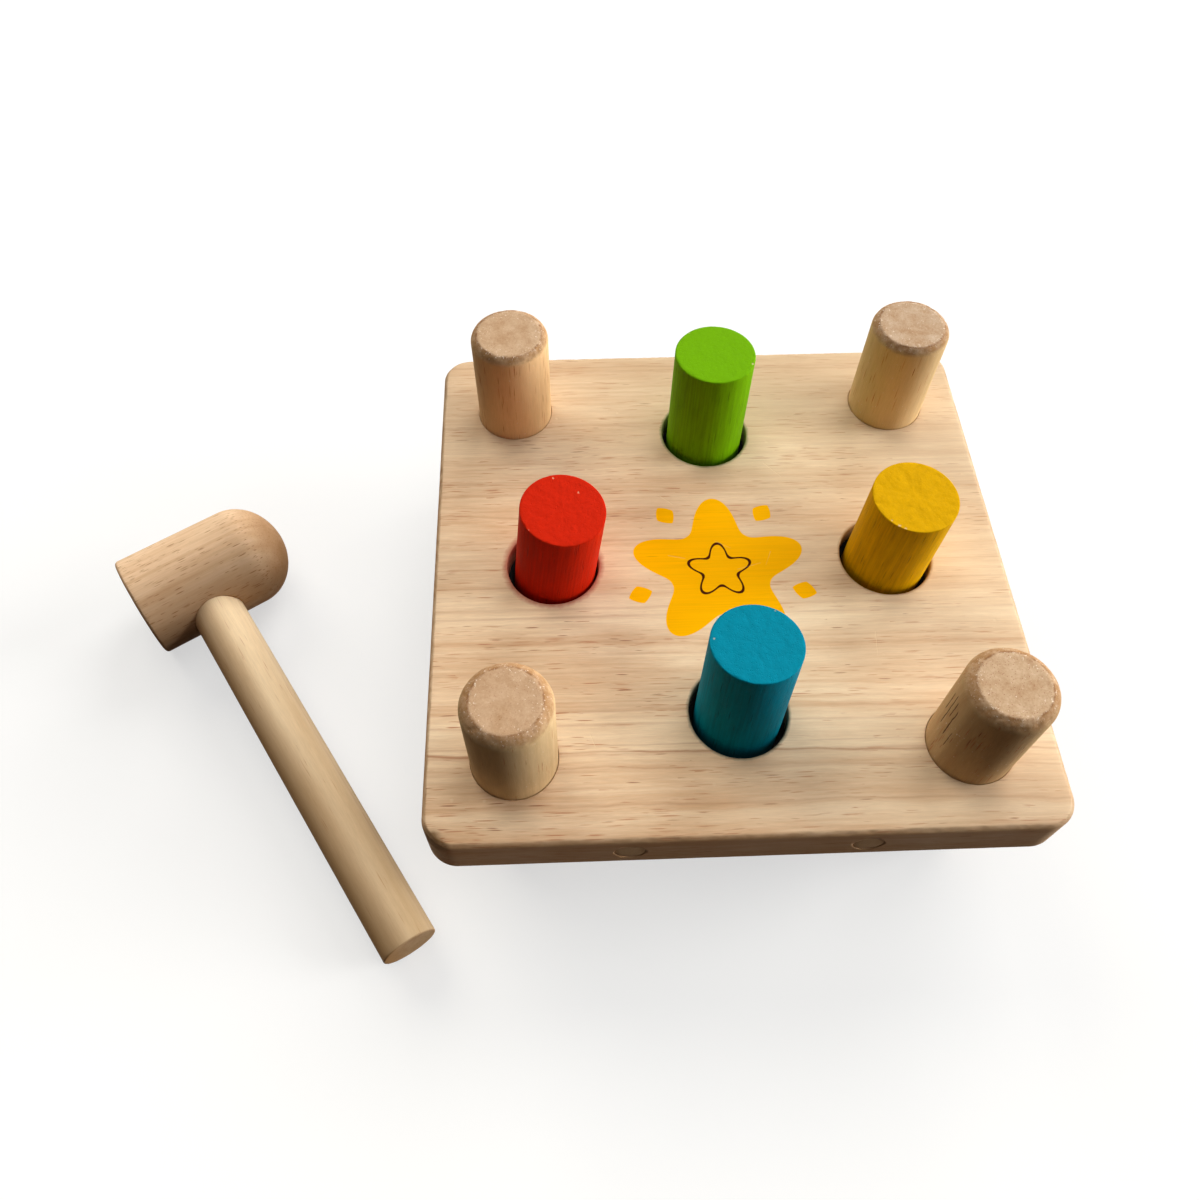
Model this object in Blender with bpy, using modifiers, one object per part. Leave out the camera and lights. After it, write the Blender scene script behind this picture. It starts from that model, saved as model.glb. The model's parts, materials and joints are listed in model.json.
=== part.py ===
"""Wooden pounding bench with its mallet, at real size, in metres, +Z up.

A square board stands on four posts that pass through it and stand out as far above
it as below, so the bench works either way up. Four coloured pegs stand in plain
holes that are wider than the pegs. A rubber ring in a groove inside each hole grips
the peg, so it stays at any height until the mallet drives it through. The mallet
lies on the floor beside the bench.

The origin is on the floor, at the middle of the space that bench and mallet cover.
The bench's front, where the blue peg is, faces -Y.
"""

import math

import bmesh
import bpy
from mathutils import Matrix, Vector

# Board
BOARD_SIZE = 0.218
BOARD_THICKNESS = 0.021
BOARD_CORNER_RADIUS = 0.011
BOARD_EDGE_ROUND = 0.0027
BENCH_CENTRE = (0.07005, 0.01168)

# Posts, which are legs below the board
POST_DIAMETER = 0.030
POST_INSET = 0.0308
POST_PROTRUSION = 0.044
POST_END_ROUND = 0.0033

# Pegs and their holes
PEG_DIAMETER = 0.0306
PEG_EDGE_ROUND = 0.0004
PEG_OFFSET = 0.0637
PEG_HOLE_GAP = 0.0020
PEG_HOLE_CHAMFER = 0.0006
PEG_FLOOR_CLEARANCE = 0.0020

# Rubber grip rings
RING_SECTION = 0.0036
RING_PEG_GAP = 0.00035
RING_HOLD = 0.0017

# Dowels that pin the board's outer planks through its front and back edges
DOWEL_DIAMETER = 0.0103
DOWEL_LENGTH = 0.060
DOWEL_END_ROUND = 0.0004
DOWEL_RECESS = 0.0002

# Mallet
HEAD_DIAMETER = 0.043
HEAD_LENGTH = 0.0645
HEAD_DOME_LENGTH = 0.0187
HEAD_FACE_ROUND = 0.0014
HEAD_FACE_TO_HANDLE = 0.0261
HANDLE_DIAMETER = 0.021
HANDLE_REACH = 0.1825
HANDLE_END_ROUND = 0.0006
TENON_PAST_AXIS = 0.006
MALLET_FROM_BENCH = (-0.2161, 0.0270)
MALLET_TURN = math.radians(212.3)

# Gap between a piece and the neighbour that carries it
SEAT_GAP = 0.0003
# How far a cutter runs past the surface that it opens
CUTTER_OVERRUN = 0.004

# Each peg: where its hole is, in steps of PEG_OFFSET from the board's centre; how far
# it has been driven down from the highest place where its ring still holds it; how far
# it leans towards +X and towards +Y, in degrees; and its paint, in 8-bit sRGB.
PEGS = {
    "green": ((0, 1), 0.0048, (0.2, 1.0), (104, 178, 22)),
    "red": ((-1, 0), 0.0114, (5.3, -2.0), (206, 36, 22)),
    "yellow": ((1, 0), 0.0101, (1.3, -1.4), (226, 178, 8)),
    "blue": ((0, -1), 0.0072, (1.4, 4.6), (6, 128, 156)),
}

CORNERS = {
    "front_left": (-1, -1),
    "front_right": (1, -1),
    "back_left": (-1, 1),
    "back_right": (1, 1),
}

WOOD = (214, 182, 142)
POST_WOOD = (204, 170, 128)
DOWEL_WOOD = (196, 160, 118)
HEAD_WOOD = (206, 168, 126)
HANDLE_WOOD = (212, 178, 130)
RUBBER = (22, 21, 20)

SEGMENTS_BOARD_CORNER = 7
SEGMENTS_POST = 40
SEGMENTS_PEG = 48
SEGMENTS_RING = 40
SEGMENTS_RING_SECTION = 8
SEGMENTS_DOWEL = 24
SEGMENTS_HEAD = 48
SEGMENTS_HANDLE = 40
STEPS_DOME = 9

# Sizes that follow from those above, with heights from the floor up
BOARD_UNDERSIDE = POST_PROTRUSION
BOARD_MIDDLE = BOARD_UNDERSIDE + BOARD_THICKNESS / 2
POST_LENGTH = BOARD_THICKNESS + 2 * POST_PROTRUSION
PEG_LENGTH = BOARD_THICKNESS + POST_PROTRUSION - PEG_FLOOR_CLEARANCE
PEG_REACH_BELOW_MIDDLE = RING_SECTION / 2 + RING_HOLD
HOLE_RADIUS = PEG_DIAMETER / 2 + PEG_HOLE_GAP
RING_RADIUS = PEG_DIAMETER / 2 + RING_PEG_GAP + RING_SECTION / 2
GROOVE_RADIUS = RING_RADIUS + RING_SECTION / 2 + SEAT_GAP
GROOVE_HALF_HEIGHT = RING_SECTION / 2 + SEAT_GAP
POST_OFFSET = BOARD_SIZE / 2 - POST_INSET
# Each edge dowel runs midway between the middle peg holes and the corner post's hole
DOWEL_OFFSET = (HOLE_RADIUS + POST_OFFSET - POST_DIAMETER / 2 - SEAT_GAP) / 2


def linear(channel):
    """One 8-bit sRGB channel as a linear value."""
    value = channel / 255
    if value <= 0.04045:
        return value / 12.92
    return ((value + 0.055) / 1.055) ** 2.4


def clear_scene():
    for obj in list(bpy.data.objects):
        bpy.data.objects.remove(obj, do_unlink=True)


def new_collection(name, parent):
    collection = bpy.data.collections.new(name)
    parent.children.link(collection)
    return collection


def give_finish(obj, colour, roughness):
    material = bpy.data.materials.new(obj.name + "_finish")
    material.use_nodes = True
    shader = material.node_tree.nodes["Principled BSDF"]
    shader.inputs["Base Color"].default_value = (*[linear(c) for c in colour], 1.0)
    shader.inputs["Roughness"].default_value = roughness
    shader.inputs["Metallic"].default_value = 0.0
    obj.data.materials.append(material)


def add_object(name, mesh, collection):
    obj = bpy.data.objects.new(name, mesh)
    collection.objects.link(obj)
    return obj


def shade(mesh, sharp_angle=35):
    mesh.shade_smooth()
    mesh.set_sharp_from_angle(angle=math.radians(sharp_angle))


def round_ends(obj, width, segments):
    """Rounds the rims of a cylinder and leaves its facets as they are."""
    bevel = obj.modifiers.new("RoundEnds", "BEVEL")
    bevel.limit_method = "ANGLE"
    bevel.angle_limit = math.radians(45)
    bevel.width = width
    bevel.segments = segments


def cylinder(name, diameter, low, high, segments, collection):
    """A cylinder along its own Z axis, from low to high."""
    mesh = bpy.data.meshes.new(name)
    shape = bmesh.new()
    bmesh.ops.create_cone(
        shape,
        cap_ends=True,
        segments=segments,
        radius1=diameter / 2,
        radius2=diameter / 2,
        depth=high - low,
        matrix=Matrix.Translation((0, 0, (high + low) / 2)),
    )
    shape.to_mesh(mesh)
    shape.free()
    shade(mesh)
    return add_object(name, mesh, collection)


def turned(name, profile, segments, collection):
    """A closed turned solid from (radius, height) points that run down its outer side."""
    mesh = bpy.data.meshes.new(name)
    points = [(radius, 0, height) for radius, height in profile]
    mesh.from_pydata(points, [(i, i + 1) for i in range(len(points) - 1)], [])
    obj = add_object(name, mesh, collection)
    screw = obj.modifiers.new("Turn", "SCREW")
    screw.axis = "Z"
    screw.angle = 2 * math.pi
    screw.steps = segments
    screw.render_steps = segments
    screw.use_merge_vertices = True
    screw.merge_threshold = 0.00001
    screw.use_smooth_shade = True
    return obj


def make_cutter(obj):
    obj.hide_render = True
    obj.display_type = "WIRE"
    return obj


def cut(obj, cutter):
    boolean = obj.modifiers.new("Cut_" + cutter.name, "BOOLEAN")
    boolean.operation = "DIFFERENCE"
    boolean.solver = "EXACT"
    boolean.object = cutter


def on_board(x, y, z):
    """A point given from the board's centre line and the floor, in world coordinates."""
    return Vector((BENCH_CENTRE[0] + x, BENCH_CENTRE[1] + y, z))


def peg_place(name):
    step_x, step_y = PEGS[name][0]
    return on_board(step_x * PEG_OFFSET, step_y * PEG_OFFSET, BOARD_MIDDLE)


def post_place(corner):
    side_x, side_y = CORNERS[corner]
    return on_board(side_x * POST_OFFSET, side_y * POST_OFFSET, BOARD_MIDDLE)


def dowel_place(corner):
    """The middle of a dowel's outer end, on the board's edge."""
    side_x, side_y = CORNERS[corner]
    return on_board(side_x * DOWEL_OFFSET, side_y * BOARD_SIZE / 2, BOARD_MIDDLE)


def make_board(parts):
    """The board's slab, with round corners and eased edges and no holes yet."""
    mesh = bpy.data.meshes.new("board")
    shape = bmesh.new()
    bmesh.ops.create_cube(shape, size=1)
    bmesh.ops.scale(shape, vec=(BOARD_SIZE, BOARD_SIZE, BOARD_THICKNESS), verts=shape.verts)
    upright = [edge for edge in shape.edges if abs(edge.verts[0].co.z - edge.verts[1].co.z) > 0]
    bmesh.ops.bevel(
        shape,
        geom=upright,
        offset=BOARD_CORNER_RADIUS,
        segments=SEGMENTS_BOARD_CORNER,
        profile=0.5,
        affect="EDGES",
    )
    shape.to_mesh(mesh)
    shape.free()
    shade(mesh)
    board = add_object("board", mesh, parts)
    board.location = on_board(0, 0, BOARD_MIDDLE)
    round_ends(board, BOARD_EDGE_ROUND, 3)
    give_finish(board, WOOD, 0.55)
    return board


def hole_profile():
    """A peg hole's outline: chamfered mouths, plain wall and the ring's groove."""
    mouth = BOARD_THICKNESS / 2
    past = CUTTER_OVERRUN
    wide = HOLE_RADIUS + PEG_HOLE_CHAMFER + past
    upper = [
        (0, mouth + past),
        (wide, mouth + past),
        (HOLE_RADIUS, mouth - PEG_HOLE_CHAMFER),
        (HOLE_RADIUS, GROOVE_HALF_HEIGHT),
        (GROOVE_RADIUS, GROOVE_HALF_HEIGHT),
    ]
    lower = [(radius, -height) for radius, height in reversed(upper)]
    return upper + lower


def bore_holes(board, cutters):
    for name in PEGS:
        hole = make_cutter(turned(name + "_hole", hole_profile(), SEGMENTS_PEG, cutters))
        hole.location = peg_place(name)
        cut(board, hole)
    for corner in CORNERS:
        reach = BOARD_THICKNESS / 2 + CUTTER_OVERRUN
        width = POST_DIAMETER + 2 * SEAT_GAP
        hole = cylinder(corner + "_post_hole", width, -reach, reach, SEGMENTS_POST, cutters)
        make_cutter(hole).location = post_place(corner)
        cut(board, hole)
        width = DOWEL_DIAMETER + 2 * SEAT_GAP
        depth = DOWEL_RECESS + DOWEL_LENGTH + SEAT_GAP
        bore = cylinder(corner + "_dowel_bore", width, -depth, CUTTER_OVERRUN, SEGMENTS_DOWEL, cutters)
        make_cutter(bore).location = dowel_place(corner)
        bore.rotation_euler = dowel_turn(corner)
        cut(board, bore)


def dowel_turn(corner):
    """Turns a dowel's +Z to point out of the board's front or back edge."""
    return (-CORNERS[corner][1] * math.pi / 2, 0, 0)


def make_posts(parts):
    for corner in CORNERS:
        half = POST_LENGTH / 2
        post = cylinder(corner + "_post", POST_DIAMETER, -half, half, SEGMENTS_POST, parts)
        post.location = post_place(corner)
        round_ends(post, POST_END_ROUND, 4)
        give_finish(post, POST_WOOD, 0.6)


def make_dowels(parts):
    for corner in CORNERS:
        high = -DOWEL_RECESS
        low = high - DOWEL_LENGTH
        dowel = cylinder(corner + "_edge_dowel", DOWEL_DIAMETER, low, high, SEGMENTS_DOWEL, parts)
        dowel.location = dowel_place(corner)
        dowel.rotation_euler = dowel_turn(corner)
        round_ends(dowel, DOWEL_END_ROUND, 1)
        give_finish(dowel, DOWEL_WOOD, 0.6)


def make_rings(parts):
    for name in PEGS:
        bpy.ops.mesh.primitive_torus_add(
            major_segments=SEGMENTS_RING,
            minor_segments=SEGMENTS_RING_SECTION,
            major_radius=RING_RADIUS,
            minor_radius=RING_SECTION / 2,
            location=peg_place(name),
        )
        ring = bpy.context.object
        ring.name = name + "_grip_ring"
        ring.data.name = ring.name
        for home in list(ring.users_collection):
            home.objects.unlink(ring)
        parts.objects.link(ring)
        shade(ring.data, 60)
        give_finish(ring, RUBBER, 0.75)


def make_pegs(parts):
    """Each peg's origin is where its own axis passes through the middle of its ring."""
    for name, (_, driven, lean, paint) in PEGS.items():
        high = PEG_LENGTH - PEG_REACH_BELOW_MIDDLE - driven
        low = high - PEG_LENGTH
        peg = cylinder(name + "_peg", PEG_DIAMETER, low, high, SEGMENTS_PEG, parts)
        peg.location = peg_place(name)
        peg.rotation_euler = (-math.radians(lean[1]), math.radians(lean[0]), 0)
        round_ends(peg, PEG_EDGE_ROUND, 1)
        give_finish(peg, paint, 0.5)


def head_profile():
    """The mallet head's outline from its dome down to its flat face, from the handle's axis."""
    radius = HEAD_DIAMETER / 2
    face = -HEAD_FACE_TO_HANDLE
    shoulder = HEAD_LENGTH - HEAD_FACE_TO_HANDLE - HEAD_DOME_LENGTH
    points = []
    for step in range(STEPS_DOME + 1):
        angle = math.pi / 2 * step / STEPS_DOME
        points.append((radius * math.sin(angle), shoulder + HEAD_DOME_LENGTH * math.cos(angle)))
    for angle in (0, math.pi / 6, math.pi / 3, math.pi / 2):
        inset = HEAD_FACE_ROUND * (1 - math.cos(angle))
        points.append((radius - inset, face + HEAD_FACE_ROUND * (1 - math.sin(angle))))
    points.append((0, face))
    return points


def make_mallet(parts, cutters):
    """Head along the mallet's X axis, flat face at +X, and handle along its +Y axis."""
    drop = math.asin((HEAD_DIAMETER - HANDLE_DIAMETER) / 2 / HANDLE_REACH)
    mallet = bpy.data.objects.new("mallet_place", None)
    parts.objects.link(mallet)
    mallet.location = on_board(*MALLET_FROM_BENCH, HEAD_DIAMETER / 2)
    mallet.rotation_euler = (-drop, 0, MALLET_TURN)

    head = turned("mallet_head", head_profile(), SEGMENTS_HEAD, parts)
    head.parent = mallet
    head.rotation_euler = (0, -math.pi / 2, 0)
    give_finish(head, HEAD_WOOD, 0.6)

    low = -TENON_PAST_AXIS
    handle = cylinder("mallet_handle", HANDLE_DIAMETER, low, HANDLE_REACH, SEGMENTS_HANDLE, parts)
    handle.parent = mallet
    # Half a facet of spin keeps the mortise's corners off the head's own facet edges.
    handle.rotation_euler = (-math.pi / 2, math.pi / SEGMENTS_HANDLE, 0)
    round_ends(handle, HANDLE_END_ROUND, 2)
    give_finish(handle, HANDLE_WOOD, 0.6)

    width = HANDLE_DIAMETER + 2 * SEAT_GAP
    high = HEAD_DIAMETER / 2 + CUTTER_OVERRUN
    mortise = cylinder("mallet_mortise", width, low - SEAT_GAP, high, SEGMENTS_HANDLE, cutters)
    make_cutter(mortise).parent = mallet
    mortise.rotation_euler = handle.rotation_euler
    cut(head, mortise)


def build():
    clear_scene()
    scene_root = bpy.context.scene.collection
    parts = new_collection("pounding_bench", scene_root)
    cutters = new_collection("cutters", scene_root)
    board = make_board(parts)
    bore_holes(board, cutters)
    make_posts(parts)
    make_dowels(parts)
    make_rings(parts)
    make_pegs(parts)
    make_mallet(parts, cutters)


build()
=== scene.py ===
"""Looks of a wooden pounding bench and its mallet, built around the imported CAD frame.

Every CAD node is replaced by a finer mesh of the same size, with rounded and worn
edges, dents and chips in its shape, and a wood, paint or rubber material made of nodes.
Lengths are in metres, but the patterns of the materials are written in millimetres.
"""

import json
import math

import bmesh
import bpy
from mathutils import Euler, Matrix, Vector, noise


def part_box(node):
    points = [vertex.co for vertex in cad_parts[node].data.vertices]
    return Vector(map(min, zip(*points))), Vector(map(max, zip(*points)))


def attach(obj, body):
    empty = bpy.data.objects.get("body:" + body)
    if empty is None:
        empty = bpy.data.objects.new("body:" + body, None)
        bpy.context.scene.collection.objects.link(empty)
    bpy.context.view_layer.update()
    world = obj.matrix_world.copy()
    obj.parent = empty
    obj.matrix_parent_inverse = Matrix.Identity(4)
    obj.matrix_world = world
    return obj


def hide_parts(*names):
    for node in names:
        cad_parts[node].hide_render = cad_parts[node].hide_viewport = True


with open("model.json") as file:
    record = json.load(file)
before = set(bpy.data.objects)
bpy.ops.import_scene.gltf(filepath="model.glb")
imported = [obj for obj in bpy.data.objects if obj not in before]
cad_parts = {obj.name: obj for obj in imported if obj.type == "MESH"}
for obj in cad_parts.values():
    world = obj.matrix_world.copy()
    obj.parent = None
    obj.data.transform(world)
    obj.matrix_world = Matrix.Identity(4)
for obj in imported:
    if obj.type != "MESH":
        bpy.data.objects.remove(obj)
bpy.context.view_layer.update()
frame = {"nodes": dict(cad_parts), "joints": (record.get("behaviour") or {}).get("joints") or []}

MM = 0.001

# Board
BOARD_CORNER_RADIUS = 0.011
BOARD_EDGE_ROUND = 0.0019
BOARD_OUTLINE_STEP = 0.0008
HOLE_RADIUS = 0.0173
HOLE_RIM_ROUND = 0.0006
GROOVE_RADIUS = 0.01955
GROOVE_HALF_HEIGHT = 0.0021
POST_HOLE_RIM_ROUND = 0.00035
BOARD_SHARP_ANGLE = math.radians(50)

# Rows of points on the board's faces beside its rounded edge, in millimetres from its side,
# then the steps round that edge and the widest step down the side
EDGE_LEAD_ROWS = (9, 7, 5.5, 4.4, 3.6)
EDGE_ARC_STEPS = 8
BOARD_SIDE_STEP = 0.0014
# The same for a hole: how far outside its rim the first row lies, and the steps round the rim
HOLE_LEAD = 0.9 * MM
HOLE_ARC_STEPS = 4

# In millimetres from the board's middle: its sides, and the crushed front left corner of its top
BOARD_HALF = 109.0
CRUSHED_CORNER = (-105.5, -106.5, 10.5)

# Rods, the thin glue line between one and its hole, and how far a ring bulges onto its peg
POST_RADIUS = 0.015
POST_END_ROUND = {"front_left": 0.005, "front_right": 0.005, "back_left": 0.0036, "back_right": 0.0036}
POST_END_CREASE = math.radians(20)
PEG_RADIUS = 0.0153
PEG_EDGE_ROUND = 0.0004
DOWEL_RADIUS = 0.00515
DOWEL_LENGTH = 0.060
DOWEL_END_ROUND = 0.0004
GLUE_LINE = 0.00012
DOWEL_GAP = 0.00022
RING_SQUEEZE = 0.0004

# How many sides the round shapes have
PEG_HOLE_SIDES = 128
POST_HOLE_SIDES = 112
POST_SIDES = 144
PEG_SIDES = 160
DOWEL_SIDES = 64
RING_SIDES = 96
RING_SECTION_SIDES = 20
HEAD_SIDES = 176
HANDLE_SIDES = 128
MORTISE_SIDES = 96

# The widest faces along posts, pegs, and dowels and the mallet's handle
POST_STEP = 0.0013
PEG_STEP = 0.0008
ROD_STEP = 0.0016

# How far a cutter runs past the surface that it opens
CUTTER_OVERRUN = 0.004
# Widest faces of a cutter's flat end and straight side
CUTTER_STEP = 0.02

# Mallet: the head's centre line crosses the handle's at the mallet's place
MALLET_PLACE = (-0.14605, 0.03868, 0.0215)
MALLET_TURN = math.radians(212.3)
HEAD_RADIUS = 0.0215
HEAD_LENGTH = 0.0645
HEAD_DOME_LENGTH = 0.0187
HEAD_FACE_ROUND = 0.0014
HEAD_FACE_TO_HANDLE = 0.0261
HEAD_STEP = 0.0015
HEAD_FACE_ARC_STEPS = 8
HEAD_DOME_ARC_STEPS = 28
HANDLE_RADIUS = 0.0105
HANDLE_REACH = 0.1825
HANDLE_END_ROUND = 0.0006
TENON_PAST_AXIS = 0.006
MORTISE_FLOOR_ROUND = 0.0004

CORNERS = ("front_left", "front_right", "back_left", "back_right")
COLOURS = ("green", "red", "yellow", "blue")

# Camera, found by fitting the bench's known sizes to the photograph
CAMERA_PLACE = (0.01174, -0.20223, 0.38617)
CAMERA_RIGHT = (0.99934, -0.03605, 0.00346)
CAMERA_UP = (0.02882, 0.84934, 0.52706)
CAMERA_LENS = 30.326
CAMERA_SHIFT = (0.00797, -0.00233)

# How much the surfaces mirror: Specular IOR Level, kept low because the studio is all white
WOOD_SHINE = 0.01
PAINT_SHINE = 0.02
RUBBER_SHINE = 0.15

# Colours of ink and rubber, in 8-bit sRGB
AMBER_INK = (253, 182, 0)
BROWN_INK = (70, 24, 8)
RUBBER_BLACK = (16, 15, 14)
RUBBER_DUST = (30, 28, 26)

# Colours towards which wood and paint turn with place, handling and wear, and with painted light and shade,
# in 8-bit sRGB
RIGHT_PAINTED_LIGHT = (228, 208, 178)
BACK_PAINTED_SHADE = (200, 182, 154)
SIDE_PAINTED_SHADE = (172, 114, 52)
EDGE_GRIME_AND_SHADE = (146, 106, 68)
CORNER_GRIME_AND_SHADE = (116, 84, 50)
SCRATCH_PALE_AND_GLINT = (240, 216, 178)
DENTED_WOOD = (238, 214, 180)
SHOULDER_DARKENING = (160, 118, 76)
RIM_DARKENING = (132, 90, 58)
SCUFFED_WOOD = (240, 224, 204)
CRACK_SHADOW = (62, 40, 24)
RUBBER_MARK_AND_SHADE = (26, 22, 18)
CHIPPED_WOOD = (226, 196, 160)
LOWER_SIDE_SHADE = (150, 97, 42)
HANDLE_SIDE_SHADE = (160, 104, 40)
HANDLE_END_DARKENING = (166, 128, 82)

# The floor as it lights the object, and the paper and glow that the camera sees added up
FLOOR_BOUNCE = (0.07, 0.036, 0.014, 1)
FLOOR_PAPER = (0.4, 0.4, 0.4, 1)
FLOOR_GLOW = (0.6, 0.6, 0.6, 1)

# The studio's light from all round, and its windows: name, azimuth, elevation and width in
# degrees, strength and colour
ROOM_LIGHT = (0.01, 0.007, 0.004, 1)
WINDOWS = (
    ("right_window", 5, 12, 42, 1.55, (1.0, 1.0, 0.97)),
    ("back_right_window", 60, 34, 40, 0.54, (1.0, 0.99, 0.96)),
    ("back_left_window", 121, 34, 40, 0.50, (1.0, 0.94, 0.82)),
    ("ceiling", 0, 85, 50, 0.24, (1.0, 0.98, 0.93)),
)


# Shapes


def add_object(name, mesh):
    obj = bpy.data.objects.new(name, mesh)
    bpy.context.scene.collection.objects.link(obj)
    return obj


def new_mesh(name, verts, faces):
    mesh = bpy.data.meshes.new(name)
    mesh.from_pydata(verts, [], faces)
    mesh.validate()
    mesh.shade_smooth()
    return mesh


def spread(low, high, step):
    """Even values from low to high, no further apart than step."""
    count = max(1, math.ceil(abs(high - low) / step))
    return [low + (high - low) * i / count for i in range(count + 1)]


def rod_profile(radius, low, high, rounding, step, arc_steps=8, crease=0.0):
    """A rod's outline from its lower centre to its upper centre, as (radius, height).

    Its rounded edge meets its flat end at the angle crease.
    """
    flat = radius - rounding * (1 - math.sin(crease))
    depth = rounding * math.cos(crease)
    end = [(r, 0) for r in spread(0, flat, step)[:-1]]
    for i in range(arc_steps + 1):
        angle = crease + (math.pi / 2 - crease) * i / arc_steps
        inset = rounding * (1 - math.sin(angle))
        end.append((radius - inset, depth - rounding * math.cos(angle)))
    side = [(radius, z) for z in spread(low + depth, high - depth, step)[1:-1]]
    lower = [(r, low + z) for r, z in end]
    upper = [(r, high - z) for r, z in reversed(end)]
    return lower + side + upper


def outward(profile, i):
    """The unit normal of a profile that runs up its outer side, as (radial, axial)."""
    before = profile[max(i - 1, 0)]
    after = profile[min(i + 1, len(profile) - 1)]
    normal = Vector((after[1] - before[1], before[0] - after[0]))
    return normal.normalized()


def turn(name, profile, segments, wear):
    """A solid turned round its own Z axis. wear gives how deep each point is worn away."""
    verts = []
    for i, (radius, height) in enumerate(profile):
        radial, axial = outward(profile, i)
        count = segments if radius > 0 else 1
        for k in range(count):
            angle = 2 * math.pi * k / segments
            across = Vector((math.cos(angle), math.sin(angle), 0))
            point = across * radius + Vector((0, 0, height))
            normal = across * radial + Vector((0, 0, axial))
            if count == 1:
                normal = Vector((0, 0, math.copysign(1, axial)))
            verts.append(point - normal * wear(point, normal))
    faces = []
    last = len(verts) - 1
    rows = len(profile) - 2
    for k in range(segments):
        after = (k + 1) % segments
        faces.append((0, 1 + after, 1 + k))
        for row in range(rows - 1):
            low = 1 + row * segments
            high = low + segments
            faces.append((low + k, low + after, high + after, high + k))
        top = 1 + (rows - 1) * segments
        faces.append((top + k, top + after, last))
    return add_object(name, new_mesh(name, verts, faces))


def wear_map(seed, side=0.03, rim=0.2, face=0.05, dent_size=3.3):
    """Depths of wear in millimetres on a rod: its side, its rims, and the dents in its ends."""

    def wear(point, normal):
        place = point / MM + Vector((seed * 17.3, seed * 5.1, seed * 3.7))
        along = normal.z * normal.z
        at_rim = 4 * along * (1 - along)
        broad = 0.5 + 0.5 * noise.noise(place * 0.11)
        fine = max(0, noise.fractal(place * 0.42, 0.9, 2.1, 4))
        depth = side * broad + rim * at_rim * (0.35 * broad + fine)
        depth += face * along * (0.5 + 0.5 * noise.fractal(place / dent_size, 0.8, 2.0, 4))
        return max(0, depth) * MM

    return wear


def cut(obj, cutter):
    """Cuts cutter out of obj for good and removes it."""
    boolean = obj.modifiers.new("Cut", "BOOLEAN")
    boolean.operation = "DIFFERENCE"
    boolean.solver = "EXACT"
    boolean.object = cutter
    graph = bpy.context.evaluated_depsgraph_get()
    shape = bpy.data.meshes.new_from_object(obj.evaluated_get(graph))
    obj.modifiers.remove(boolean)
    obj.data = shape
    bpy.data.objects.remove(cutter, do_unlink=True)


def no_wear(point, normal):
    return 0


def outline(half, radius, step):
    """Points round a rounded square, each with its outward direction, counterclockwise."""
    found = []
    inner = half - radius
    for corner in range(4):
        turned = Matrix.Rotation(math.pi / 2 * corner, 2)
        for y in spread(-inner, inner, step)[:-1]:
            found.append((turned @ Vector((half, y)), turned @ Vector((1, 0))))
        for angle in spread(0, math.pi / 2, step / radius)[:-1]:
            away = Vector((math.cos(angle), math.sin(angle)))
            found.append((turned @ (Vector((inner, inner)) + away * radius), turned @ away))
    return found


def rounded_edge(radius, steps):
    """An edge from a face to a side: (inset from the side, depth below the face, normal)."""
    found = []
    for i in range(steps + 1):
        angle = math.pi / 2 * i / steps
        out, up = math.sin(angle), math.cos(angle)
        found.append((radius * (1 - out), radius * (1 - up), (out, up)))
    return found


def edge_rows(half_height):
    """The board's edge from its top face to its bottom face: (inset, height, normal)."""
    rows = [(inset * MM, half_height, (0, 1)) for inset in EDGE_LEAD_ROWS]
    for inset, depth, normal in rounded_edge(BOARD_EDGE_ROUND, EDGE_ARC_STEPS):
        rows.append((inset, half_height - depth, normal))
    wall = half_height - BOARD_EDGE_ROUND
    middle = [(0, z, (1, 0)) for z in spread(wall, -wall, BOARD_SIDE_STEP)[1:-1]]
    below = [(inset, -z, (out, -up)) for inset, z, (out, up) in reversed(rows)]
    return rows + middle + below


def hole_rows(half_height, radius, rim, groove=None):
    """A hole from the top face to the bottom face: (radius, height)."""
    rows = [(radius + rim + HOLE_LEAD, half_height)]
    for inset, depth, _ in rounded_edge(rim, HOLE_ARC_STEPS):
        rows.append((radius + inset, half_height - depth))
    if groove:
        rows.append((radius, groove[1]))
        rows.append((groove[0], groove[1]))
    return rows + [(r, -z) for r, z in reversed(rows)]


def board_wear(half):
    """Soft unevenness of the sanded edge, small nicks, and a crushed front left corner."""
    crushed = Vector(CRUSHED_CORNER) * MM

    def wear(point, normal):
        place = point / MM
        flat = normal.z * normal.z
        inset = half - max(abs(point.x), abs(point.y))
        fade = min(1, max(0, (8 * MM - inset) / (4 * MM)))
        rim = 4 * flat * (1 - flat)
        depth = 0.05 * (0.5 + 0.5 * noise.noise(place * 0.09)) * (1 - flat)
        depth += rim * (0.06 + 0.28 * max(0, noise.fractal(place * 0.16, 0.9, 2.2, 4)))
        depth += rim * 0.5 * max(0, noise.noise(place * 0.55) - 0.45)
        near = max(0, 1 - (point - crushed).length / (7.5 * MM))
        depth += 1.5 * near * near * (1 + 0.5 * noise.noise(place * 0.5))
        return depth * fade * MM

    return wear


def add_rows(shape, rows):
    """Joins each closed row of points to the next with faces. Returns the rows' points."""
    made = [[shape.verts.new(point) for point in row] for row in rows]
    for upper, lower in zip(made, made[1:]):
        for i in range(len(upper)):
            j = (i + 1) % len(upper)
            shape.faces.new((upper[i], lower[i], lower[j], upper[j]))
    return made


def ring_edges(shape, verts):
    return [shape.edges.get((verts[i - 1], verts[i])) for i in range(len(verts))]


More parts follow.
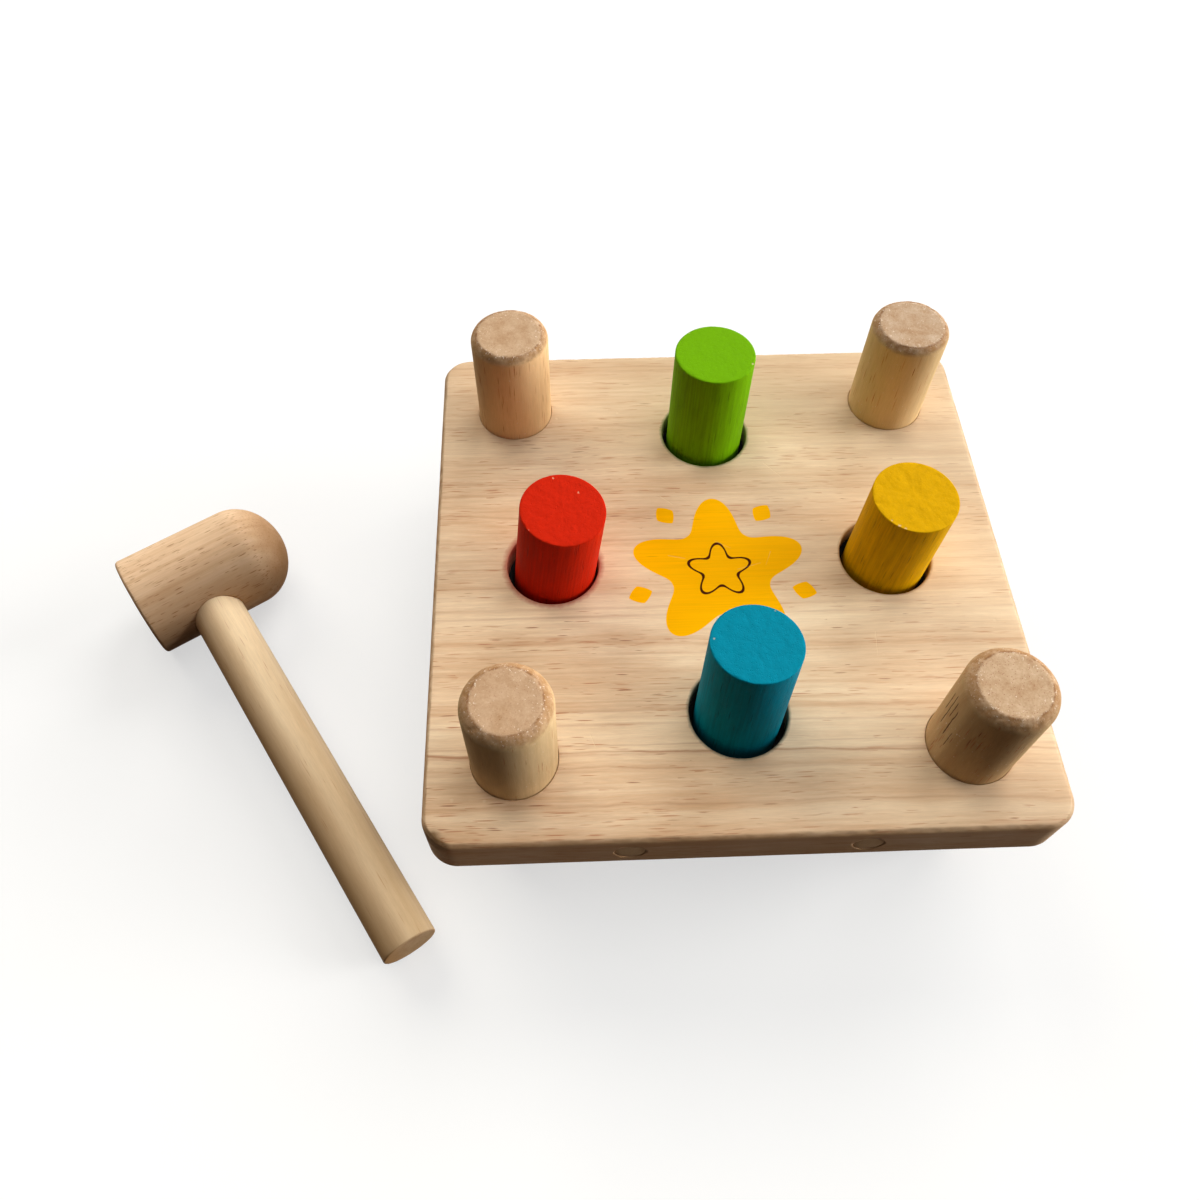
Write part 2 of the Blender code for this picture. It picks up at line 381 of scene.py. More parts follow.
def make_board(name, centre, half, half_height, peg_holes, post_holes):
    """A rounded slab with its holes, in one closed mesh."""
    shape = bmesh.new()
    wear = board_wear(half)
    rows = []
    for inset, height, (out, up) in edge_rows(half_height):
        row = []
        for side, away in outline(half, BOARD_CORNER_RADIUS, BOARD_OUTLINE_STEP):
            point = Vector((*(side - away * inset), height))
            normal = Vector((*(away * out), up))
            row.append(point - normal * wear(point, normal))
        rows.append(row)
    loops = [add_rows(shape, rows)]
    groove = (GROOVE_RADIUS, GROOVE_HALF_HEIGHT)
    peg_rows = hole_rows(half_height, HOLE_RADIUS, HOLE_RIM_ROUND, groove)
    post_rows = hole_rows(half_height, POST_RADIUS + GLUE_LINE, POST_HOLE_RIM_ROUND)
    round_holes = ((peg_holes, peg_rows, PEG_HOLE_SIDES), (post_holes, post_rows, POST_HOLE_SIDES))
    for places, profile, segments in round_holes:
        angles = [-2 * math.pi * k / segments for k in range(segments)]
        for x, y in places:
            rows = []
            for radius, height in profile:
                rows.append([(x + radius * math.cos(a), y + radius * math.sin(a), height) for a in angles])
            loops.append(add_rows(shape, rows))
    for end in (0, -1):
        edges = [edge for loop in loops for edge in ring_edges(shape, loop[end])]
        bmesh.ops.triangle_fill(shape, use_beauty=True, edges=edges)
    bmesh.ops.recalc_face_normals(shape, faces=shape.faces)
    mesh = bpy.data.meshes.new(name)
    shape.to_mesh(mesh)
    shape.free()
    mesh.shade_smooth()
    mesh.set_sharp_from_angle(angle=BOARD_SHARP_ANGLE)
    board = add_object(name, mesh)
    board.location = centre
    return board


# Materials


def linear(colour):
    """An 8-bit sRGB colour as linear RGBA."""
    values = []
    for channel in colour:
        value = channel / 255
        values.append(value / 12.92 if value <= 0.04045 else ((value + 0.055) / 1.055) ** 2.4)
    return (*values, 1)


class Tree:
    """Short calls that add nodes to a material or the world. Inputs are sockets or plain values."""

    def __init__(self, owner):
        owner.use_nodes = True
        self.owner = owner
        self.nodes = owner.node_tree.nodes
        self.links = owner.node_tree.links

    def put(self, socket, value):
        if isinstance(value, bpy.types.NodeSocket):
            self.links.new(value, socket)
        else:
            socket.default_value = value

    def add(self, kind, inputs=(), **settings):
        node = self.nodes.new("ShaderNode" + kind)
        for key, value in settings.items():
            setattr(node, key, value)
        for key, value in inputs:
            self.put(node.inputs[key], value)
        return node

    def math(self, operation, *values):
        node = self.add("Math", enumerate(values), operation=operation)
        return node.outputs[0]

    def times(self, value, factor):
        return self.math("MULTIPLY", value, factor)

    def plus(self, value, more):
        return self.math("ADD", value, more)

    def minus(self, value, less):
        return self.math("SUBTRACT", value, less)

    def scaled(self, value, factor, shift):
        """value times factor, plus shift."""
        return self.math("MULTIPLY_ADD", value, factor, shift)

    def larger(self, first, second):
        return self.math("MAXIMUM", first, second)

    def absolute(self, value):
        return self.math("ABSOLUTE", value)

    def vector(self, operation, *values):
        node = self.add("VectorMath", enumerate(values), operation=operation)
        return node.outputs["Value" if operation in ("LENGTH", "DOT_PRODUCT", "DISTANCE") else "Vector"]

    def stretch(self, place, sizes, seed):
        """place over sizes in millimetres, moved by seed so that two patterns differ."""
        scale = [1 / size for size in sizes]
        moved = (seed * 7.13, seed * 3.71, seed * 5.29)
        return self.vector("MULTIPLY_ADD", place, scale, moved)

    def noise(self, place, sizes, seed, detail=2.0, roughness=0.5):
        place = self.stretch(place, sizes, seed)
        inputs = (("Vector", place), ("Scale", 1.0), ("Detail", detail), ("Roughness", roughness))
        return self.add("TexNoise", inputs).outputs["Fac"]

    def noise_along(self, value, detail=2.0, roughness=0.5):
        inputs = (("W", value), ("Scale", 1.0), ("Detail", detail), ("Roughness", roughness))
        return self.add("TexNoise", inputs, noise_dimensions="1D").outputs["Fac"]

    def cells(self, place, sizes, seed):
        """The distance to the nearest cell's middle, and three chance values of that cell."""
        node = self.add("TexVoronoi", (("Vector", self.stretch(place, sizes, seed)), ("Scale", 1.0)))
        return node.outputs["Distance"], node.outputs["Color"]

    def fit(self, value, low, high, to_low=0.0, to_high=1.0):
        """Maps low..high to to_low..to_high, held at both ends."""
        inputs = ((0, value), (1, low), (2, high), (3, to_low), (4, to_high))
        return self.add("MapRange", inputs).outputs[0]

    def mix(self, factor, first, second, blend="MIX"):
        inputs = ((0, factor), (6, first), (7, second))
        return self.add("Mix", inputs, data_type="RGBA", blend_type=blend).outputs[2]

    def tint(self, colour, mask, shade):
        """Turns a colour into an 8-bit sRGB shade as far as the mask says."""
        return self.mix(mask, colour, linear(shade))

    def split(self, value):
        return self.add("SeparateXYZ", ((0, value),)).outputs

    def join(self, x, y, z):
        return self.add("CombineXYZ", ((0, x), (1, y), (2, z))).outputs[0]

    def bump(self, height, strength, distance, base=None):
        """Relief of distance in millimetres, on top of the relief base."""
        inputs = [("Height", height), ("Strength", strength), ("Distance", distance * MM)]
        if base:
            inputs.append(("Normal", base))
        return self.add("Bump", inputs).outputs[0]

    def surface(self, colour, shine, roughness, relief=None):
        """Sets how the material looks, and returns it."""
        inputs = self.nodes["Principled BSDF"].inputs
        self.put(inputs["Base Color"], colour)
        self.put(inputs["Specular IOR Level"], shine)
        self.put(inputs["Roughness"], roughness)
        if relief:
            self.put(inputs["Normal"], relief)
        return self.owner


def new_material(name):
    return Tree(bpy.data.materials.new(name))


def grain_frame(tree, grain):
    """The place in millimetres as (along the grain, across, across), and the surface's facing.

    Facing is 1 where the surface is cut square across the grain and 0 where it runs along it.
    """
    spot = tree.add("TexCoord").outputs
    place = tree.vector("MULTIPLY", spot["Object"], (1 / MM, 1 / MM, 1 / MM))
    if grain == "Z":
        x, y, z = tree.split(place)
        place = tree.join(z, x, y)
    axis = {"X": (1, 0, 0), "Z": (0, 0, 1)}[grain]
    facing = tree.absolute(tree.vector("DOT_PRODUCT", spot["Normal"], axis))
    return place, facing


def bent(tree, place, look):
    """The place moved across the grain, so that what runs along the grain wanders."""
    shift = tree.times(tree.split(place)[0], look["skew"])
    for sizes, reach in (((120, 50, 50), 1.0), ((24, 8, 8), 0.3), ((5, 1.8, 1.8), 0.07)):
        wave = tree.minus(tree.noise(place, sizes, look["seed"]), 0.5)
        shift = tree.scaled(wave, look["bend"] * reach, shift)
    return tree.vector("ADD", place, tree.join(0.0, shift, shift))


def ramp_of(tree, value, stops):
    """A value that runs through (position, value) stops."""
    low, high = stops[0][0], stops[-1][0]
    ramp = tree.add("ValToRGB", ((0, tree.fit(value, low, high)),))
    elements = ramp.color_ramp.elements
    elements.remove(elements[1])
    for i, (position, level) in enumerate(stops):
        element = elements.new((position - low) / (high - low)) if i else elements[0]
        element.color = (level, level, level, 1)
    return ramp.outputs[0]


def growth_tone(tree, along, look):
    """How dark the growth rings are: chosen bands on the board, and chance bands on a rod."""
    from_pith = tree.vector("SUBTRACT", along, (0, *look["pith"]))
    radius = tree.vector("LENGTH", tree.vector("MULTIPLY", from_pith, (0, 1, 1)))
    ring = tree.scaled(radius, 1 / look["band"], look["seed"] * 9.7)
    chance = tree.noise_along(ring, 4.0, 0.6)
    lines = tree.math("POWER", tree.noise_along(tree.times(ring, 2.3), 3.0), 4.0)
    lines = tree.times(lines, 2.2)
    if not look["bands"]:
        return tree.fit(chance, 0.3, 0.7, *look["rings"]), lines
    _, y, z = tree.split(along)
    depth = tree.scaled(tree.minus(z, look["top"]), 0.8, y)
    chance = tree.times(chance, 0.3)
    tone = tree.scaled(ramp_of(tree, depth, look["bands"]), 0.75, chance)
    stops = []
    for middle, dark, soft in look["lines"]:
        stops += [(middle - 0.2, 0), (middle, dark), (middle + soft, 0)]
    return tone, tree.larger(tree.times(lines, 0.5), ramp_of(tree, depth, stops))


def pore_mask(tree, place, cell, chance, widest, seed):
    """Open pores as short dashes along the grain, one in some of the cells."""
    distance, random = tree.cells(place, cell, seed)
    draw = tree.split(random)
    size = tree.scaled(draw[0], widest * 0.6, widest * 0.4)
    mask = tree.fit(distance, tree.times(size, 0.5), size, 1.0, 0.0)
    kept = tree.math("LESS_THAN", draw[1], chance)
    depth = tree.scaled(draw[2], 0.6, 0.4)
    return tree.times(tree.times(mask, kept), depth)


def plank_arcs(tree, place, plank):
    """Growth rings on the ends of planks glued edge to edge, with every other plank turned over."""
    _, y, z = tree.split(place)
    number = tree.math("FLOOR", tree.math("DIVIDE", y, plank))
    turned = tree.scaled(tree.math("FLOORED_MODULO", number, 2.0), 2.0, -1.0)
    across = tree.minus(y, tree.times(tree.plus(number, 0.5), plank))
    up = tree.scaled(z, turned, 0.6 * plank)
    radius = tree.vector("LENGTH", tree.join(0.0, across, up))
    return tree.noise_along(tree.scaled(number, 5.3, tree.times(radius, 0.5)))


def cut_end(tree, place, growth, look):
    """The colour of wood cut across its grain, where its growth rings show as arcs."""
    seed = look["seed"]
    blotches = tree.noise(place, (9, 6, 6), seed + 11, 3.0, 0.6)
    specks = tree.noise(place, (2, 0.7, 0.7), seed + 12, 3.0, 0.7)
    mottled = tree.scaled(blotches, 0.6, tree.times(specks, 0.4))
    if look["plank"]:
        growth = plank_arcs(tree, place, look["plank"])
        mottled = tree.scaled(mottled, 0.3, 0.35)
    mottled = tree.scaled(tree.minus(growth, 0.5), look["end_rings"], mottled)
    colour = tree.mix(tree.fit(mottled, 0.34, 0.66), linear(look["end"]), linear(look["end_dark"]))
    distance, _ = tree.cells(place, (9, 0.85, 0.85), seed + 13)
    holes = tree.times(tree.fit(distance, 0.1, 0.2, 1.0, 0.0), look["end_pores"])
    return tree.tint(colour, holes, look["pore"])


def wood(tree, grain, look):
    """Adds bare wood and returns its place, its facing, its colour and its height."""
    place, facing = grain_frame(tree, grain)
    seed = look["seed"]
    along = bent(tree, place, look)
    growth, late = growth_tone(tree, along, look)
    streaks = tree.noise(along, (30, 1.7, 1.7), seed, 3.0, 0.6)
    patches = tree.noise(along, (38, 9, 9), seed + 6)
    tone = tree.scaled(tree.minus(streaks, 0.5), look["streaks"], growth)
    tone = tree.scaled(tree.minus(patches, 0.5), look["patches"], tone)
    colour = tree.mix(tree.add("Clamp", ((0, tone),)).outputs[0], linear(look["light"]), linear(look["dark"]))

    patchy = tree.noise(along, (30, 2.0, 2.0), seed + 5, 3.0)
    late = tree.times(late, tree.fit(patchy, 0.34, 0.6, 0.5, 1.0))
    colour = tree.tint(colour, tree.times(late, look["late"]), look["late_tint"])

    fibres = tree.noise(along, (6, 0.4, 0.4), seed, 3.0, 0.65)
    fine = tree.fit(fibres, 0.28, 0.72, 1.0 - look["fibre"], 1.0 + look["fibre"])
    colour = tree.mix(1.0, colour, tree.join(fine, fine, fine), "MULTIPLY")

    crowd = tree.noise(place, (34, 6, 6), seed + 8, 3.0)
    crowd = tree.scaled(growth, 0.3, crowd)
    chance = tree.fit(crowd, 0.57, 0.82, look["fewest_pores"], look["pores"])
    hair = pore_mask(tree, along, look["hair_cell"], chance, 0.46, seed)
    open_pore = pore_mask(tree, along, (16, 1.2, 1.2), tree.times(chance, 0.8), 0.24, seed + 1)
    colour = tree.tint(colour, tree.times(hair, look["hair_dark"]), look["hair"])
    colour = tree.tint(colour, tree.times(open_pore, look["pore_dark"]), look["pore"])
    pits = tree.larger(tree.times(hair, 0.4), open_pore)

    colour = tree.mix(tree.fit(facing, 0.3, 0.8), colour, cut_end(tree, place, growth, look))
    return place, facing, colour, tree.scaled(fibres, 0.12, tree.times(pits, -0.35))


def finish_wood(tree, place, colour, height, roughness=0.5):
    """A worn satin lacquer on wood."""
    rub = tree.noise(place, (24, 11, 11), 2, 3.0)
    rough = tree.fit(rub, 0.3, 0.7, roughness - 0.06, roughness + 0.1)
    waves = tree.noise(place, (14, 6, 6), 9)
    relief = tree.bump(height, 0.5, 0.1, tree.bump(waves, 0.25, 0.5))
    return tree.surface(colour, WOOD_SHINE, rough, relief)


# Bands of the board's growth rings, from front to back: millimetres from its middle, and darkness
BOARD_BANDS = (
    (-109, 0.95), (-104, 0.7), (-99.5, 0.4), (-98, 0.8),
    (-92, 0.65), (-84, 0.5), (-79, 0.25), (-75, 0.1),
    (-67, 0.2), (-62, 0.6), (-56, 0.45), (-46, 0.7),
    (-38, 0.4), (-35.8, 0.9), (-31, 0.45), (-24, 0.1),
    (-15, 0.35), (-11, 0.6), (-3, 0.4), (5, 0.45),
    (12, 0.6), (20, 0.75), (29, 0.5), (35, 0.7),
    (47, 0.35), (58, 0.3), (68, 0.55), (77, 0.35),
    (84, 0.6), (93, 0.65), (100, 1.0), (109, 0.75),
)

# The look of a piece of wood. Colours are 8-bit sRGB and lengths are in millimetres.
# pith is where the growth rings have their middle, and band is how far apart they lie.
# top is how high the board's top lies over its middle.
# lines are thin dark rings: middle, darkness, and width of the soft side.
# The numbers named streaks, patches, late, fibre, hair_dark, pore_dark, pores, end_pores and
# end_rings say how strongly each shows. plank is the width of the glued planks, 0 for none.
BOARD_LOOK = {
    "seed": 1.0,
    "pith": (260.0, -220.0),
    "band": 3.5,
    "bend": 4.0,
    "skew": 0.0137,
    "top": 10.5,
    "bands": BOARD_BANDS,
    "lines": (
        (-97.5, 1.0, 1.2), (-92.0, 0.6, 0.9), (-84.5, 0.5, 0.6), (-79.0, 0.95, 0.7), (-61.5, 0.45, 1.1),
        (-36.0, 1.0, 0.9), (20.5, 0.65, 0.8), (36.5, 0.8, 0.8), (67.5, 0.5, 1.2), (100.5, 1.0, 1.2),
    ),
    "light": (249, 226, 193),
    "dark": (211, 171, 133),
    "streaks": 0.9,
    "patches": 0.6,
    "late": 0.95,
    "late_tint": (176, 122, 90),
    "fibre": 0.07,
    "hair_cell": (12.0, 0.62, 0.62),
    "hair": (184, 116, 80),
    "hair_dark": 0.85,
    "pore": (146, 74, 46),
    "pore_dark": 0.9,
    "pores": 1.0,
    "fewest_pores": 0.04,
    "end": (212, 180, 146),
    "end_dark": (178, 142, 108),
    "end_pores": 0.5,
    "end_rings": 0.8,
    "plank": 54.5,
}


def shape_mask(tree, value, edge, blur):
    """1 where value is below edge, with a border blur wide."""
    return tree.fit(value, edge - blur / 2, edge + blur / 2, 1.0, 0.0)


# The print on the board's top, in millimetres from the board's middle
PRINT_CENTRE = (-0.3, -4.4)
STAR_POINTS = 5
STAR_TIP = 34.0
STAR_VALLEY = 19.5
INNER_STAR_SHARE = 0.36
INNER_LINE_HALF_WIDTH = 0.6
GEM_DISTANCE = 32.5
GEM_HALF_LENGTH = 4.6
GEM_HALF_WIDTH = 3.9


def add_print(tree, place, colour, fade, relief):
    """A printed amber star with five gems between its points and a brown star line within."""
    spot = tree.vector("SUBTRACT", place, (*PRINT_CENTRE, 0))
    x, y, height = tree.split(spot)
    distance = tree.vector("LENGTH", tree.join(x, y, 0.0))
    angle = tree.math("ARCTAN2", x, y)
    wave = tree.math("COSINE", tree.times(angle, STAR_POINTS))
    wave = tree.math("POWER", tree.scaled(wave, 0.5, 0.5), 1.25)
    star = tree.scaled(wave, STAR_TIP - STAR_VALLEY, STAR_VALLEY)
    amber = shape_mask(tree, tree.minus(distance, star), 0.0, 0.25)

    fifth = 2 * math.pi / STAR_POINTS
    turned = tree.minus(tree.math("FLOORED_MODULO", angle, fifth), fifth / 2)
    gem_x = tree.scaled(distance, tree.math("COSINE", turned), -GEM_DISTANCE)
    gem_y = tree.times(distance, tree.math("SINE", turned))
    gem_x = tree.math("POWER", tree.times(tree.absolute(gem_x), 1 / GEM_HALF_LENGTH), 1.3)
    gem_y = tree.math("POWER", tree.times(tree.absolute(gem_y), 1 / GEM_HALF_WIDTH), 1.3)
    gem = shape_mask(tree, tree.plus(gem_x, gem_y), 1.0, 0.06)

    line = tree.absolute(tree.minus(distance, tree.times(star, INNER_STAR_SHARE)))
    brown = shape_mask(tree, line, INNER_LINE_HALF_WIDTH, 0.2)
    ink = tree.mix(brown, linear(AMBER_INK), linear(BROWN_INK))
    fibre = tree.noise(place, (30, 0.6, 0.6), 21, 3.0, 0.6)
    shade = tree.fit(fibre, 0.3, 0.7, 0.93, 1.04)
    shade = tree.times(shade, tree.fit(relief, -0.35, 0.0, 0.78, 1.0))
    ink = tree.mix(1.0, ink, tree.join(shade, shade, shade), "MULTIPLY")
    on_top = tree.fit(height, BOARD_LOOK["top"] - 0.5, BOARD_LOOK["top"] - 0.2)
    mask = tree.times(tree.larger(amber, gem), on_top)
    mask = tree.times(mask, tree.scaled(fade, -0.15, 1.0))
    return tree.mix(mask, colour, ink)


# Scratches on the board's top: one end, the other end, and width, in millimetres
SCRATCHES = (
    ((1.4, -56.1), (15.6, -58.5), 0.28),
    ((-19.5, 2.9), (-13.2, 1.4), 0.32),
    ((-1.2, 9.2), (4.8, 5.6), 0.25),
    ((6.5, -4.2), (15.5, -1.6), 0.22),
    ((20.0, 3.5), (17.5, -2.5), 0.2),
    ((54.0, -33.0), (53.0, -43.0), 0.22),
    ((-21.0, 32.0), (-16.0, 27.5), 0.3),
    ((23.0, 47.0), (29.0, 40.0), 0.2),
    ((-52.0, -70.5), (-50.5, -75.0), 0.2),
)


def scratch_mask(tree, place):
    """Thin scratches on the board's top, each from one point to another."""
    wobble = tree.noise(place, (3, 3, 3), 5)
    found = 0.0
    for start, end, width in SCRATCHES:
        run = Vector((end[0] - start[0], end[1] - start[1], 0))
        offset = tree.vector("SUBTRACT", tree.vector("MULTIPLY", place, (1, 1, 0)), (*start, 0))
        share = tree.vector("DOT_PRODUCT", offset, tuple(run / run.length_squared))
        share = tree.add("Clamp", ((0, share),)).outputs[0]
        nearest = tree.vector("MULTIPLY", tree.join(share, share, 0.0), tuple(run))
        distance = tree.vector("DISTANCE", offset, nearest)
        distance = tree.scaled(wobble, 0.35, tree.minus(distance, 0.17))
        found = tree.larger(found, shape_mask(tree, distance, width * 0.6, width))
    return found


def rim_stain(tree, place, colour, centre, shade, reach, strength):
    """Paint rubbed off on the mouth and wall of a peg's hole."""
    spot = tree.vector("MULTIPLY", tree.vector("SUBTRACT", place, (*centre, 0)), (1, 1, 0))
    distance = tree.vector("LENGTH", spot)
    ragged = tree.noise(place, (2.4, 2.4, 2.4), 13, 3.0)
    distance = tree.scaled(ragged, reach * 1.2, distance)
    edge = HOLE_RADIUS / MM + reach * 1.2
    mask = tree.fit(distance, edge - 0.3, edge + reach, strength, 0.0)
    return tree.tint(colour, mask, shade)


# Paint on the mouth of each peg's hole: colour, how wide it reaches in millimetres, strength
STAINS = {
    "green": ((104, 122, 62), 0.9, 0.75),
    "red": ((176, 84, 70), 1.6, 0.7),
    "yellow": ((150, 104, 46), 0.8, 0.6),
    "blue": ((74, 84, 74), 0.8, 0.75),
}


def edge_grime_and_shade(tree, place, colour):
    """Darkens the board's front and back sides with painted shade, and its rounded edges and most of all the
    crushed corner with grime and painted shade.
    """
    # Painted shade: the front and back sides turn darker and browner.
    side = tree.fit(tree.absolute(tree.split(place)[1]), BOARD_HALF - 1.4, BOARD_HALF, 0.0, 0.35)
    colour = tree.tint(colour, side, SIDE_PAINTED_SHADE)
    # Grime and painted shade on the rounded edges.
    upward = tree.absolute(tree.split(tree.add("TexCoord").outputs["Normal"])[2])
    rounded = tree.times(tree.fit(upward, 0.05, 0.4), tree.fit(upward, 0.99, 0.85))
    ragged = tree.noise(place, (9, 9, 3), 17, 4.0, 0.65)
    mask = tree.times(rounded, tree.fit(ragged, 0.35, 0.65, 0.05, 0.45))
    colour = tree.tint(colour, mask, EDGE_GRIME_AND_SHADE)
    # Grime and painted shade, darkest on the crushed front left corner.
    corner = tree.vector("DISTANCE", place, CRUSHED_CORNER)
    corner = tree.scaled(ragged, 5.0, corner)
    mask = tree.times(tree.fit(corner, 5.5, 10.0, 0.7, 0.0), tree.fit(upward, 0.995, 0.93))
    return tree.tint(colour, mask, CORNER_GRIME_AND_SHADE)


def board_material(peg_holes):
    tree = new_material("board_rubberwood")
    place, _, colour, height = wood(tree, "X", BOARD_LOOK)
    across, back, _ = tree.split(place)
    # Painted light: the board turns paler towards its right side.
    colour = tree.tint(colour, tree.fit(across, -50, 80, 0.0, 0.25), RIGHT_PAINTED_LIGHT)
    # Painted shade: the board turns darker and greyer towards its back.
    colour = tree.tint(colour, tree.fit(back, 45, 90, 0.0, 0.35), BACK_PAINTED_SHADE)
    colour = edge_grime_and_shade(tree, place, colour)
    scratches = scratch_mask(tree, place)
    # Scratches turn paler: worn wood, and a painted glint where they catch the light.
    colour = tree.tint(colour, tree.times(scratches, 0.35), SCRATCH_PALE_AND_GLINT)
    colour = add_print(tree, place, colour, scratches, height)
    for name, hole in zip(COLOURS, peg_holes):
        shade, reach, strength = STAINS[name]
        colour = rim_stain(tree, place, colour, tuple(hole / MM), shade, reach, strength)
    distance, _ = tree.cells(place, (17, 17, 17), 4)
    dents = tree.fit(distance, 0.02, 0.05, 1.0, 0.0)
    colour = tree.tint(colour, tree.times(dents, 0.3), DENTED_WOOD)
    height = tree.minus(height, tree.larger(scratches, dents))
    return finish_wood(tree, place, colour, height)


# rings is how pale and how dark a rod's own growth rings are.
ROD_LOOK = dict(
    BOARD_LOOK,
    pith=(9.0, 26.0),
    band=3.2,
    bend=1.4,
    skew=0.0,
    bands=(),
    lines=(),
    late=0.15,
    streaks=0.3,
    rings=(0.3, 0.7),
    end_rings=0.1,
    plank=0,
)


def rod_material(name, seed, **changes):
    tree = new_material(name)
    place, _, colour, height = wood(tree, "Z", dict(ROD_LOOK, seed=seed, **changes))
    return finish_wood(tree, place, colour, height, 0.55)


POST_LOOKS = {
    "front_left": dict(light=(228, 200, 156), dark=(202, 168, 122), end=(202, 170, 140), pores=0.3),
    "front_right": dict(light=(212, 180, 136), dark=(178, 142, 100), end=(210, 182, 152), pores=0.9),
    "back_left": dict(light=(244, 210, 162), dark=(222, 180, 132), end=(206, 176, 146), pores=0.9),
    "back_right": dict(light=(230, 200, 152), dark=(208, 176, 128), end=(206, 182, 158), pores=0.8),
}
POST_LOOKS["front_right"]["end_pores"] = 0.9

# Drying cracks down one side of the front right post: angle in degrees, lower and upper end, width
CRACKS = (
    (169, 31.0, 46.0, 0.4),
    (177, 25.0, 48.0, 0.5),
    (184, 33.0, 47.0, 0.4),
    (191, 24.0, 44.0, 0.5),
    (201, 20.0, 34.0, 0.36),
)


def crack_mask(tree, place):
    """Thin cracks along a post, each pointed at both ends."""
    height, x, y = tree.split(place)
    angle = tree.math("FLOORED_MODULO", tree.math("ARCTAN2", y, x), 2 * math.pi)
    wobble = tree.noise(place, (5, 1.2, 1.2), 31)
    angle = tree.scaled(tree.minus(wobble, 0.5), 0.05, angle)
    found = 0.0
    for degrees, low, high, width in CRACKS:
        sideways = tree.absolute(tree.minus(angle, math.radians(degrees)))
        lengthways = tree.absolute(tree.minus(height, (low + high) / 2))
        half = (high - low) / 2
        reach = tree.fit(lengthways, half - 3, half, width / 2 * MM / POST_RADIUS, -0.01)
        crack = tree.fit(tree.minus(sideways, reach), -0.006, 0.002, 1.0, 0.0)
        found = tree.larger(found, crack)
    return found


def post_material(corner, seed):
    """A post's wood, with its darker shoulder, a darker line round its rim, and the pale scuffs on its rim.
    """
    tree = new_material(corner + "_post_wood")
    place, facing, colour, height = wood(tree, "Z", dict(ROD_LOOK, seed=seed, **POST_LOOKS[corner]))
    ragged = tree.noise(place, (2.6, 2.6, 2.6), seed, 4.0, 0.65)
    flat = (POST_RADIUS - POST_END_ROUND[corner] * (1 - math.sin(POST_END_CREASE))) / MM
    from_axis = tree.vector("LENGTH", tree.vector("MULTIPLY", place, (0, 1, 1)))
    wobble = tree.scaled(ragged, 1.0, tree.minus(from_axis, 0.5))
    # The shoulder turns darker in ragged patches.
    shoulder_dark = tree.times(tree.fit(wobble, flat - 0.1, flat + 0.25), tree.fit(facing, 0.1, 0.6))
    shoulder_dark = tree.times(shoulder_dark, tree.fit(ragged, 0.35, 0.6, 0.2, 0.8))
    colour = tree.tint(colour, shoulder_dark, SHOULDER_DARKENING)
    # A darker line runs round the rim of the flat end.
    rim = tree.fit(tree.absolute(tree.minus(wobble, flat)), 0.1, 0.55, 1.0, 0.0)
    rim = tree.times(rim, tree.fit(facing, 0.5, 0.8))
    rim = tree.times(rim, tree.fit(ragged, 0.4, 0.6, 0.1, 0.75))
    colour = tree.tint(colour, rim, RIM_DARKENING)
    scuffs = tree.noise(place, (1.0, 1.0, 1.0), seed + 3, 4.0, 0.75)
    worn = tree.times(tree.fit(facing, 0.4, 0.95), tree.fit(from_axis, 7, 12, 0.0, 0.06))
    scuffs = tree.fit(tree.plus(scuffs, worn), 0.65, 0.69)
    colour = tree.tint(colour, tree.times(scuffs, 0.85), SCUFFED_WOOD)
    if corner == "front_right":
        cracks = crack_mask(tree, place)
        colour = tree.tint(colour, tree.times(cracks, 0.8), CRACK_SHADOW)
        height = tree.minus(height, cracks)
    return finish_wood(tree, place, colour, height, 0.6)


# Paint colours in 8-bit sRGB
PAINTS = {
    "green": (110, 170, 4),
    "red": (194, 32, 8),
    "yellow": (214, 162, 0),
    "blue": (0, 126, 152),
}

# Small chips in a peg's paint: across, back and size, in millimetres from its top's middle
CHIPS = {
    "green": ((13.6, -5.6, 0.7), (-9.0, 11.6, 0.4)),
    "red": ((5.6, 7.4, 0.6), (-3.2, 13.4, 0.5), (-12.0, -8.8, 0.4)),
    "yellow": ((-8.2, -12.2, 0.9), (-6.4, -13.4, 0.8), (-10.5, -9.9, 0.6), (11.5, 8.2, 0.5)),
    "blue": ((-13.6, 2.0, 0.5), (7.4, 12.6, 0.4)),
}

# How far up and down from its ring a peg is blackened by rubber marks and painted shade of its hole, in
# millimetres
DARK_BAND_REACH = 9.4


